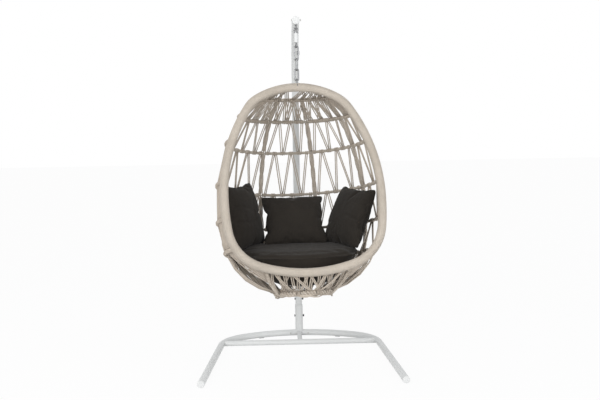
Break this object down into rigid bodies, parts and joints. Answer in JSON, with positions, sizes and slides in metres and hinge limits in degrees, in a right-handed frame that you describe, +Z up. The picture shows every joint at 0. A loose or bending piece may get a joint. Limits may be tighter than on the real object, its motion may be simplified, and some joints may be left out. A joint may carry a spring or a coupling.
{
  "type": "hanging egg chair",
  "caption": "Egg-shaped woven rope basket chair with a seat cushion and pillows, hung by a swivel and chain links from a curved pole on a splayed tubular floor stand",
  "frame": {"origin": "centre of the bounding box's floor rectangle, on the floor", "axes": "+Z up, +Y towards the pole at the back, -Y the way the stand's feet point and the front of the chair; the basket at rest is turned 8 degrees towards +X"},
  "size_m": [1.083, 1.0849, 1.9189],
  "materials": {
    "white_steel": "satin",
    "white_plastic": "matte",
    "zinc_steel": "satin",
    "black_steel": "satin",
    "pad_rubber": "matte",
    "galvanised_steel": "satin",
    "brass_washer": "satin",
    "frame_steel": "satin",
    "rope": "matte",
    "lacing_cord": "matte",
    "seat_fabric": "matte",
    "pillow_fabric": "matte"
  },
  "bodies": {
    "stand": {"base_hub": "white_steel", "leg_left": "white_steel", "leg_right": "white_steel", "leg_plugs": "white_plastic", "crossbar": "white_steel", "brace_tube": "white_steel", "hub_bolts": "zinc_steel", "hub_nuts": "zinc_steel", "crossbar_bolts": "zinc_steel", "floor_pads": "pad_rubber", "pole_coupler": "zinc_steel", "curved_pole": "white_steel", "post_bolts": "black_steel", "post_nuts": "black_steel", "arm_plug": "white_plastic", "hanger_eye": "galvanised_steel", "hanger_bolt": "zinc_steel", "hanger_nut": "zinc_steel"},
    "swivel_top": {"swivel_cap": "galvanised_steel", "swivel_cover": "white_plastic", "thrust_washer": "brass_washer"},
    "swivel_stem": {"swivel_pin": "galvanised_steel"},
    "quick_link": {"quick_link": "galvanised_steel", "quick_link_nut": "galvanised_steel"},
    "upper_link": {"chain_link_1": "galvanised_steel"},
    "lower_link": {"chain_link_2": "galvanised_steel"},
    "basket": {"basket_eye": "galvanised_steel", "rim_tube": "frame_steel", "rim_wrap": "rope", "hoop_rods": "frame_steel", "rib_rods": "frame_steel", "base_hoop": "frame_steel", "crown_hoop_wrap": "rope", "hoop_wrap_1": "rope", "hoop_wrap_2": "rope", "hoop_wrap_3": "rope", "hoop_wrap_4": "rope", "hoop_wrap_5": "rope", "back_rib_wraps": "rope", "front_rib_wraps": "rope", "base_hoop_wrap": "rope", "crown_lacing": "lacing_cord", "back_lacing_1": "lacing_cord", "back_lacing_2": "lacing_cord", "back_lacing_3": "lacing_cord", "back_lacing_4": "lacing_cord", "back_lacing_5": "lacing_cord", "bowl_lacing": "lacing_cord", "front_lacing": "lacing_cord", "side_cords_left": "lacing_cord", "side_cords_right": "lacing_cord", "seat_cushion": "seat_fabric", "pillow_left": "pillow_fabric", "pillow_centre": "pillow_fabric", "pillow_right": "pillow_fabric"}
  },
  "joints": [
    {"name": "arm_eye_swing", "type": "hinge", "parent": "stand", "child": "swivel_top", "pos_m": [0, -0.0815, 1.84915], "axis": [1, 0, 0], "range_deg": [-10, 4]},
    {"name": "swivel_turn", "type": "hinge", "parent": "swivel_top", "child": "swivel_stem", "pos_m": [0, -0.0815, 1.7733], "axis": [0, 0, 1], "continuous": true},
    {"name": "quick_link_swing", "type": "hinge", "parent": "swivel_stem", "child": "quick_link", "pos_m": [0, -0.0815, 1.75145], "axis": [-0.1392, 0.9903, 0], "range_deg": [-8, 8]},
    {"name": "upper_link_swing", "type": "hinge", "parent": "quick_link", "child": "upper_link", "pos_m": [0, -0.0815, 1.68175], "axis": [0.9903, 0.1392, 0], "range_deg": [-3, 3]},
    {"name": "lower_link_swing", "type": "hinge", "parent": "upper_link", "child": "lower_link", "pos_m": [0, -0.0815, 1.62675], "axis": [-0.1392, 0.9903, 0], "range_deg": [-4, 4]},
    {"name": "basket_tilt", "type": "hinge", "parent": "lower_link", "child": "basket", "pos_m": [0, -0.0815, 1.57175], "axis": [0.9903, 0.1392, 0], "range_deg": [-2, 2]}
  ]
}
